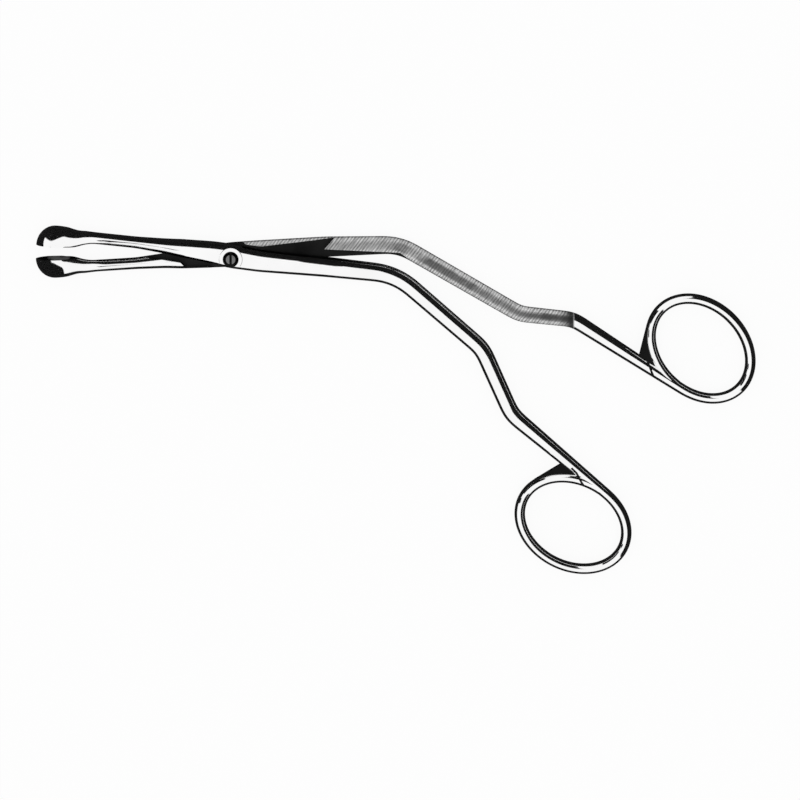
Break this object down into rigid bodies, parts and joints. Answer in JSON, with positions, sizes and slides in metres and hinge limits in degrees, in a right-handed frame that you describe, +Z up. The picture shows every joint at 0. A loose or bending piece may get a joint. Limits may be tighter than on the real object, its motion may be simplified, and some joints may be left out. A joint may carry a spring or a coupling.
{
  "type": "nasal cutting forceps",
  "caption": "Slender steel ring-handled forceps with hollow oval cutting jaws, a half-lap screw joint and handles bent clear of the line of sight.",
  "frame": {"origin": "on the pivot screw's axis, at the flat underside of the lap joint", "axes": "+Z up along the pivot screw towards its slotted head; +X from the jaws towards the finger rings; +Y towards the side from which both handles bend away"},
  "size_m": [0.1904, 0.0928, 0.0069],
  "materials": {
    "polished_steel": "mirror-polished stainless steel",
    "screw_steel": "turned stainless steel, darker in the slot"
  },
  "bodies": {
    "rear": {"rear_arm": "polished_steel", "pivot_screw": "screw_steel"},
    "front": {"front_arm": "polished_steel"}
  },
  "joints": [
    {"name": "jaw_pivot", "type": "hinge", "parent": "rear", "child": "front", "pos_m": [0, 0, 0.0032], "axis": [0, 0, -1], "range_deg": [-4, 35]}
  ]
}
